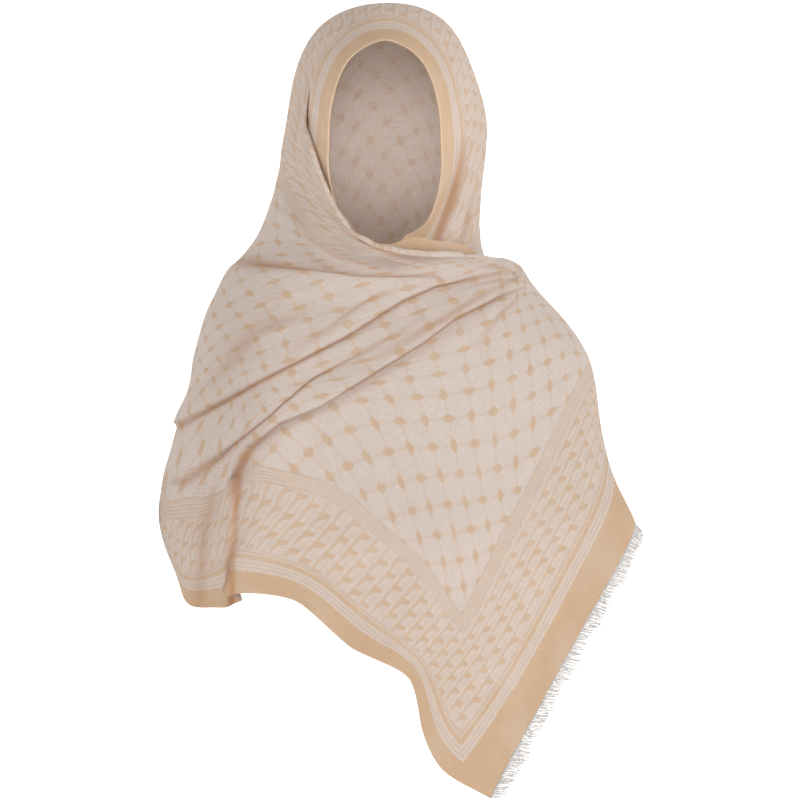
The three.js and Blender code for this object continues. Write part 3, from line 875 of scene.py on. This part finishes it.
@dataclass(frozen=True)
class PlainFinish:
    """A single-coloured matt finish."""

    name: str
    colour: Colour
    roughness: float
    glow: float = 0.0

    def build(self) -> bpy.types.Material:
        """Make the material."""
        g = Graph(self.name)
        colour = linear(self.colour)
        inputs = {"Base Color": colour, "Roughness": self.roughness, "Specular IOR Level": 0.2}
        inputs |= {"Emission Color": colour, "Emission Strength": self.glow}
        return g.finish(g.node("ShaderNodeBsdfPrincipled", inputs))


@dataclass
class Finishes:
    """Materials shared by the pieces."""

    face: bpy.types.Material
    reverse: bpy.types.Material
    fringe: bpy.types.Material

    @classmethod
    def make(cls) -> "Finishes":
        """Make every material of the shawl."""
        return cls(
            Weave("patterned_cloth", Colour.WHITE_YARN, Colour.PEACH_YARN, 1.0, 0.22).build(),
            # the reverse: its paler yarn colours carry painted light for the inside of the hood
            Weave("cloth_reverse", Colour.REVERSE_WHITE_LIT, Colour.REVERSE_PEACH_LIT, 0.7, 0.42).build(),
            # the fringe, its yarn darkened as painted shade
            PlainFinish("shaded_fringe_yarn", Colour.FRINGE_SHADED, 0.9).build(),
        )


@dataclass(frozen=True)
class Stretch:
    """A stretch of the outer cloth, laid as one grid.

    Attributes:
        start, end: Where it lies along the cloth.
        columns, rows: Cells along and across.
        flap: Whether its upper edge is the flap and lip.
    """

    start: float
    end: float
    columns: int
    rows: int
    flap: bool

    GHOSTS = 2
    ROLL_ANGLES = (180, 150, 120, 90, 65, 40, 18)
    CROWDING = 0.4

    def lay(self, cloth: WornCloth) -> "Laid":
        """Lay the stretch with its upper edge turned in.

        Args:
            cloth: The worn cloth.

        Returns:
            The laid grid.
        """
        step = (self.end - self.start) / self.columns
        along = self.start + step * np.arange(-self.GHOSTS, self.columns + self.GHOSTS + 1)
        upper = np.interp(along, *zip(*UPPER_EDGE)) if self.flap else np.zeros_like(along)
        down = np.linspace(0, 1, self.rows + 1)
        down = ((1 - self.CROWDING) * down + self.CROWDING * down**2)[:, None]
        s = np.broadcast_to(along, (len(down), len(along))).copy()
        t = upper + (CLOTH_WIDTH - upper) * down
        points = cloth.drape(s, t)
        if self.flap:
            points = led_by_lip(points, s, t)
        points, crease_shade = cloth.grid(s, t, points)
        lip = smooth_step(*ROLLED_FROM, along) * smooth_step(*ROLLED_TO, along)
        radius = ROLL_RADIUS + LIP_ROLL * lip * self.flap
        laid = Laid(points, s, t, crease_shade).turned_in(radius, self.ROLL_ANGLES)
        return laid.cropped(self.GHOSTS)


@dataclass
class Laid:
    """A laid grid of cloth: its points, cloth coordinates and painted shade in fold valleys."""

    points: Array
    s: Array
    t: Array
    crease_shade: Array
    normals: Array | None = None

    def turned_in(self, radius: Array, angles: tuple[int, ...]) -> "Laid":
        """Turn the first row's edge in with a small roll.

        Args:
            radius: Radius of the roll at each column.
            angles: Degrees round the roll, from its inner end to the edge.

        Returns:
            A grid with the roll's rows put before the first row, and its normals.
        """
        normals = grid_normals(self.points)[0]
        outward = unit(self.points[0] - self.points[2])
        angle = np.radians(angles)[:, None, None]
        turn = outward * np.sin(angle) - normals * (1 - np.cos(angle))
        points = np.concatenate([self.points[0] + radius[:, None] * turn, self.points])
        count = len(angles)
        return Laid(
            points,
            np.concatenate([self.s[:count], self.s]),
            np.concatenate([self.t[0] + radius * angle[..., 0], self.t]),
            np.concatenate([np.zeros_like(self.crease_shade[:count]), self.crease_shade]),
            grid_normals(points),
        )

    def cropped(self, ghosts: int) -> "Laid":
        """Leave out the first and last columns."""
        keep = (slice(None), slice(ghosts, -ghosts))
        return Laid(*(values[keep] for values in (self.points, self.s, self.t, self.crease_shade, self.normals)))

    def build(self, name: str, finishes: Finishes) -> bpy.types.Object:
        """Make a thin shell of the grid, with the cloth's own coordinates as its UV map.

        Args:
            name: Object name.
            finishes: The shared materials. The face is outside and round the rim.

        Returns:
            The new object.
        """
        rows, columns = self.points.shape[:2]
        count = rows * columns
        normals = self.normals.reshape(-1, 3)
        middle, half = self.points.reshape(-1, 3), normals * CLOTH_WALL / 2
        index = np.arange(count).reshape(rows, columns)
        corners = [index[:-1, :-1], index[1:, :-1], index[1:, 1:], index[:-1, 1:]]
        outer = np.stack(corners, -1).reshape(-1, 4)
        inner = count + np.stack([corners[k] for k in (0, 3, 2, 1)], -1).reshape(-1, 4)
        ring = np.concatenate([index[0, :-1], index[:-1, -1], index[-1, :0:-1], index[:0:-1, 0]])
        after = np.roll(ring, -1)
        rim = np.stack([ring, after, after + count, ring + count], -1)
        faces = np.concatenate([outer, inner, rim])
        inner_to = 2 * len(outer)
        points = np.concatenate([middle + half, middle - half]) * MM
        made = smooth_mesh(name, points, faces.tolist(), finishes.face, finishes.reverse)
        mesh = made.data
        slots = np.zeros(len(faces), dtype=np.int32)
        slots[len(outer) : inner_to] = 1
        mesh.polygons.foreach_set("material_index", slots)
        flat = faces.reshape(-1)
        uv = np.stack([self.s, self.t], -1).reshape(-1, 2)[flat % count] * MM
        mesh.uv_layers.new(name="cloth").data.foreach_set("uv", uv.astype(np.float32).reshape(-1))
        # painted shade of the fold valleys, kept as a mesh attribute for the material
        shade = np.tile(self.crease_shade.reshape(-1), 2).astype(np.float32)
        mesh.attributes.new("crease_shade", "FLOAT", "POINT").data.foreach_set("value", shade)
        per_corner = np.concatenate([normals, -normals])[flat]
        rim_normals = np.array([polygon.normal for polygon in mesh.polygons[inner_to:]])
        per_corner[4 * inner_to :] = np.repeat(rim_normals, 4, axis=0)
        mesh.normals_split_custom_set(per_corner.tolist())
        return made


def led_by_lip(points: Array, s: Array, t: Array) -> Array:
    """Move the cloth near the flap's edge and the lip onto their line.

    Args:
        points: The smooth cloth, whose first row is the edge.
        s: Distances along the cloth.
        t: Distances across it.

    Returns:
        The moved points.
    """
    fine = spline_through(LIP_LINE, np.linspace(0, 1, 400))
    line = read_rows(s[0], fine[:, 0], fine[:, 1:])
    share = smooth_step(*LED_FROM, s[0]) * smooth_step(*LED_TO, s[0])
    near = np.exp(-(((t - t[0]) / FLAP_WIDTH) ** 2))
    return points + (line - points[0])[None] * (share[None] * near)[..., None]


HOOD_STRETCH = Stretch(HOOD_START_S, FLAP_S, 104, 170, False)
FRONT_STRETCH = Stretch(FLAP_S, SHOULDER_S, 190, 244, True)
END_STRETCH = Stretch(SHOULDER_S, CLOTH_LENGTH, 140, 210, True)


def rim_under_flap(cloth: WornCloth) -> Laid:
    """Lay the rim that runs on from the hood under the flap.

    Args:
        cloth: The worn cloth.

    Returns:
        The laid grid.
    """
    ghosts = Stretch.GHOSTS
    step = (STRIP_END_S - FLAP_S) / STRIP_COLUMNS
    along = FLAP_S + step * np.arange(-ghosts, STRIP_COLUMNS + ghosts + 1)
    edge = np.interp(along, *zip(*UPPER_EDGE))
    down = np.linspace(0, 1, STRIP_ROWS)[:, None]
    s = np.broadcast_to(along, (len(down), len(along))).copy()
    t = (edge + STRIP_UNDER) * down
    own = smooth_step(FLAP_S, FLAP_S + 30, s)[..., None]
    points = cloth.drape(s, t) * (1 - own) + cloth.rim(s, t) * own
    points, crease_shade = cloth.grid(s, t, points)
    sunk = STRIP_SUNK * smooth_step(FLAP_S, FLAP_S + 10, s) * smooth_step(-7, 1, t - edge)
    points -= grid_normals(points) * sunk[..., None]
    # painted shadow: a darker band on the rim just below the flap's edge
    shade = smooth_step(-9, -1, t - edge) * smooth_step(FLAP_S, FLAP_S + 25, s)
    laid = Laid(points, s, t, np.maximum(crease_shade, shade))
    return laid.turned_in(ROLL_RADIUS + 0 * along, Stretch.ROLL_ANGLES).cropped(ghosts)


def spline_through(table: Rows, at: Array) -> Array:
    """Pass a Catmull-Rom curve through rows of numbers.

    Args:
        table: Knots, one a row.
        at: Places from 0 to 1.

    Returns:
        One row of numbers for each place.
    """
    rows = np.array(table, dtype=float)
    last = len(rows) - 1
    place = np.clip(at * last, 0, last - 1e-6)
    i = place.astype(int)
    u = (place - i)[:, None]
    knots = np.concatenate([[2 * rows[0] - rows[1]], rows, [2 * rows[-1] - rows[-2]]])
    a, b, c, d = (knots[i + k] for k in range(4))
    return b + 0.5 * u * (c - a + u * (2 * a - 5 * b + 4 * c - d + u * (3 * (b - c) + d - a)))


def neck_band() -> Laid:
    """Lay the plain border that is turned in under the chin.

    Returns:
        The laid grid.
    """
    at = np.linspace(0, 1, BAND_COLUMNS)
    rows = spline_through(NECK_BAND, at)
    upper, lower = rows[:, [0, 1, 2]], rows[:, [0, 3, 4]]
    down = np.linspace(0, 1, BAND_ROWS)[:, None]
    points = upper + (lower - upper) * down[..., None]
    points[..., 1] -= BAND_BELLY * np.sin(math.pi * down)
    points[..., 2] -= 0.6 * np.sin(at * 19.0) * (1 - down)
    s = np.broadcast_to(BAND_START_S + BAND_LENGTH * at, points.shape[:2])
    t = np.broadcast_to(1 + (PLAIN_BAND - 2) * down, points.shape[:2])
    return Laid(points, s, t, np.zeros(points.shape[:2]), grid_normals(points))


def inner_end(cloth: WornCloth) -> Laid:
    """Lay the hidden inner end, from its hanging edge round to the wearer's left arm.

    Args:
        cloth: The worn cloth.

    Returns:
        The laid grid.
    """
    down = np.linspace(0, 1, INNER_ROWS)
    t = INNER_TOP_T + (CLOTH_WIDTH - INNER_TOP_T) * down
    side = cloth.drape(np.full_like(t, INNER_JOIN_S), t)
    edge = np.array(INNER_EDGE, dtype=float)
    hang = read_rows(down, edge[:, 0], edge[:, 1:])
    around = np.linspace(1, 0, INNER_COLUMNS)
    angle = around * math.pi / 2
    turns = (np.cos(angle), 1 - np.sin(angle), 1 - around)
    points = np.stack([hang[:, None, k] + (side - hang)[:, None, k] * turns[k] for k in range(3)], -1)
    s = np.broadcast_to(INNER_JOIN_S + (INNER_START_S - INNER_JOIN_S) * around, points.shape[:2])
    shown = INNER_SHOWN_T + (CLOTH_WIDTH - INNER_SHOWN_T) * down[:, None]
    t = np.broadcast_to(shown, points.shape[:2])
    return Laid(points, s, t, np.zeros(points.shape[:2]), grid_normals(points))


@dataclass
class Fringe:
    """Frayed yarn ends along an edge.

    Attributes:
        name: Object name.
        edge: Points along the edge, in millimetres.
        inside: Points just inside it.
        spacing: Distance between yarns.
        length: Mean length of a yarn.
        radius: Half its thickness.
        joints: Points along it.
    """

    name: str
    edge: Array
    inside: Array
    spacing: float = 0.34
    length: float = 15.0
    radius: float = 0.36
    joints: int = 5

    SEED = 7

    def build(self, material: bpy.types.Material) -> bpy.types.Object:
        """Make the yarns as thin three-sided threads.

        Args:
            material: Finish of the yarn.

        Returns:
            The new object.
        """
        run = run_along(self.edge)
        count = int(run[-1] / self.spacing)
        rng = np.random.default_rng(self.SEED)
        at = (np.arange(count) + 0.5 + rng.uniform(-0.3, 0.3, count)) * run[-1] / count
        roots = read_rows(at, run, self.edge)
        ways = read_rows(at, run, unit(self.edge - self.inside))
        tangent = unit(np.gradient(roots, axis=0))
        lengths = self.length * rng.uniform(0.72, 1.12, count) * (1 + 0.12 * np.sin(at / 9.0))
        lean = rng.normal(-0.5, 0.1, count) + 0.1 * np.sin(at / 14.0)
        vertices, faces = [], []
        for root, way, along, length, tilt in zip(roots, ways, tangent, lengths, lean):
            base = len(vertices)
            side = np.cross(way, along)
            for joint in range(self.joints):
                part = joint / (self.joints - 1)
                reach = length * part
                centre = root + way * (reach - 0.4) + along * reach * (tilt + 0.15 * tilt * part)
                centre = centre + np.array([0.1 * reach * part, 0, -0.03 * reach * part])
                width = self.radius * (1 - 0.45 * part)
                for corner in range(3):
                    angle = corner * math.tau / 3
                    vertices.append(centre + width * (math.cos(angle) * along + math.sin(angle) * side))
            for joint in range(self.joints - 1):
                a = base + 3 * joint
                faces += [(a + k, a + (k + 1) % 3, a + 3 + (k + 1) % 3, a + 3 + k) for k in range(3)]
            faces.append((base + 2, base + 1, base))
            tip = base + 3 * (self.joints - 1)
            faces.append((tip, tip + 1, tip + 2))
        return smooth_mesh(self.name, np.array(vertices) * MM, faces, material)


@dataclass(frozen=True)
class Lamp:
    """A studio light: its kind, place, what it points at, power and other settings."""

    name: str
    kind: str
    place: tuple[float, float, float]
    aim: tuple[float, float, float]
    power: float
    settings: dict[str, float]

    def build(self) -> None:
        """Make the light."""
        data = bpy.data.lights.new(self.name, self.kind)
        data.energy = self.power
        for key, value in self.settings.items():
            setattr(data, key, value)
        made = linked(self.name, data)
        made.location = self.place
        aim = Vector(self.aim) - Vector(self.place)
        made.rotation_euler = aim.to_track_quat("-Z", "Y").to_euler()


class Studio:
    """Backdrop, lights and camera."""

    CENTRE = (0.015, -0.06, -0.398)
    VIEW_HEIGHT = 0.8
    LENS = 240.0
    SENSOR = 36.0
    FAR_CLIP = 100.0
    SKY = (1.0, 0.99, 0.98, 1.0)
    SKY_STRENGTH = 0.42
    PAPER_HALF_WIDTH = 16.0
    PAPER_PROFILE = [(-9.0, -1.15), (1.2, -1.15), (6.5, -1.1), (7.8, -0.6), (8.5, 0.8), (8.5, 14.0)]
    # through the face opening, on the inside of the hood
    INSIDE = {"spot_size": math.radians(4.5), "spot_blend": 1.0, "shadow_soft_size": 0.03}
    LAMPS = (
        Lamp("key", "AREA", (1.2, -1.15, 0.2), CENTRE, 14.2, {"size": 0.8}),
        Lamp("fill", "AREA", (-1.0, -1.2, 0.0), CENTRE, 7.4, {"size": 0.9}),
        Lamp("face_light", "SPOT", (0.0, -2.4, -0.135), (0.0, 0.0, -0.135), 120.0, INSIDE),
    )

    def build(self) -> None:
        """Set up the studio."""
        self._backdrop()
        self._world()
        for lamp in self.LAMPS:
            lamp.build()
        self._camera()
        bpy.context.scene.view_settings.view_transform = "Standard"

    def _backdrop(self) -> None:
        sides = (-self.PAPER_HALF_WIDTH, self.PAPER_HALF_WIDTH)
        points = np.array([(x, y, z) for y, z in self.PAPER_PROFILE for x in sides])
        faces = [(2 * i, 2 * i + 1, 2 * i + 3, 2 * i + 2) for i in range(len(self.PAPER_PROFILE) - 1)]
        wall = PlainFinish("paper_wall", Colour.BACKDROP, 1.0, 0.8).build()
        floor = PlainFinish("paper_floor", Colour.BACKDROP, 1.0).build()
        made = smooth_mesh("backdrop", points, faces, wall, floor)
        made.data.polygons[0].material_index = 1

    def _world(self) -> None:
        world = bpy.data.worlds.new("studio")
        world.use_nodes = True
        sky = world.node_tree.nodes["Background"]
        sky.inputs[0].default_value = self.SKY
        sky.inputs[1].default_value = self.SKY_STRENGTH
        bpy.context.scene.world = world

    def _camera(self) -> None:
        data = bpy.data.cameras.new("camera")
        data.lens = self.LENS
        data.sensor_width = self.SENSOR
        data.clip_end = self.FAR_CLIP
        made = linked("camera", data)
        distance = self.VIEW_HEIGHT * self.LENS / self.SENSOR
        made.location = Vector(self.CENTRE) + Vector((0, -distance, 0))
        made.rotation_euler = (math.pi / 2, 0, 0)
        bpy.context.scene.camera = made


def joined(name: str, *objects: bpy.types.Object) -> bpy.types.Object:
    """Join objects into one.

    Args:
        name: Name of the result.
        objects: The objects to join.

    Returns:
        The joined object.
    """
    for item in bpy.context.view_layer.objects:
        item.select_set(item in objects)
    bpy.context.view_layer.objects.active = objects[0]
    bpy.ops.object.join()
    objects[0].name = name
    return objects[0]


def build_shawl() -> list[bpy.types.Object]:
    """Make every piece of the shawl and tie it to the frame.

    Returns:
        The pieces.
    """
    finishes = Finishes.make()
    cloth = WornCloth()
    hood = joined(
        "hood_and_back",
        HOOD_STRETCH.lay(cloth).build("hood", finishes),
        rim_under_flap(cloth).build("rim", finishes),
    )
    front = FRONT_STRETCH.lay(cloth).build("front_wrap_cloth", finishes)
    end_sheet = END_STRETCH.lay(cloth)
    end = end_sheet.build("outer_end_cloth", finishes)
    band = neck_band().build("neck_band_cloth", finishes)
    inner_sheet = inner_end(cloth)
    inner = inner_sheet.build("inner_end_cloth", finishes)
    flat = slice(len(Stretch.ROLL_ANGLES), None)
    fold = int(np.argmin(np.abs(end_sheet.t[flat, -1] - OUTER_FRINGE_T)))
    edge, inside = end_sheet.points[flat, -1], end_sheet.points[flat, -3]
    yarn = finishes.fringe
    outer_fringe = Fringe("outer_fringe_yarns", edge[fold:], inside[fold:]).build(yarn)
    tail_fringe = Fringe("tail_fringe_yarns", edge[: fold + 1], inside[: fold + 1]).build(yarn)
    edge, inside = inner_sheet.points[:, 0], inner_sheet.points[:, 2]
    inner_fringe = Fringe("inner_fringe_yarns", edge, inside).build(yarn)
    ties = (
        (hood, "patterned_cloth", ("hood", "back_drape")),
        (front, "patterned_cloth", ("front_wrap",)),
        (end, "patterned_cloth", ("end_fall", "shoulder_tail")),
        (band, "border_cloth", ("neck_band",)),
        (inner, "patterned_cloth", ("inner_end",)),
        (outer_fringe, "fringe", ("fringe_outer",)),
        (tail_fringe, "fringe", ("fringe_tail",)),
        (inner_fringe, "fringe", ("fringe_inner",)),
    )
    for piece, slot, nodes in ties:
        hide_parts(*nodes)
        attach(piece, "root")
    return [piece for piece, _, _ in ties]


def main() -> None:
    """Build the shawl and the studio, and note the sizes."""
    logging.basicConfig(level=logging.INFO, format="%(name)s: %(message)s")
    pieces = build_shawl()
    Studio().build()
    bpy.context.view_layer.update()
    for piece in pieces:
        LOG.info("%s: %d faces", piece.name, len(piece.data.polygons))


if __name__ == "__main__":
    main()
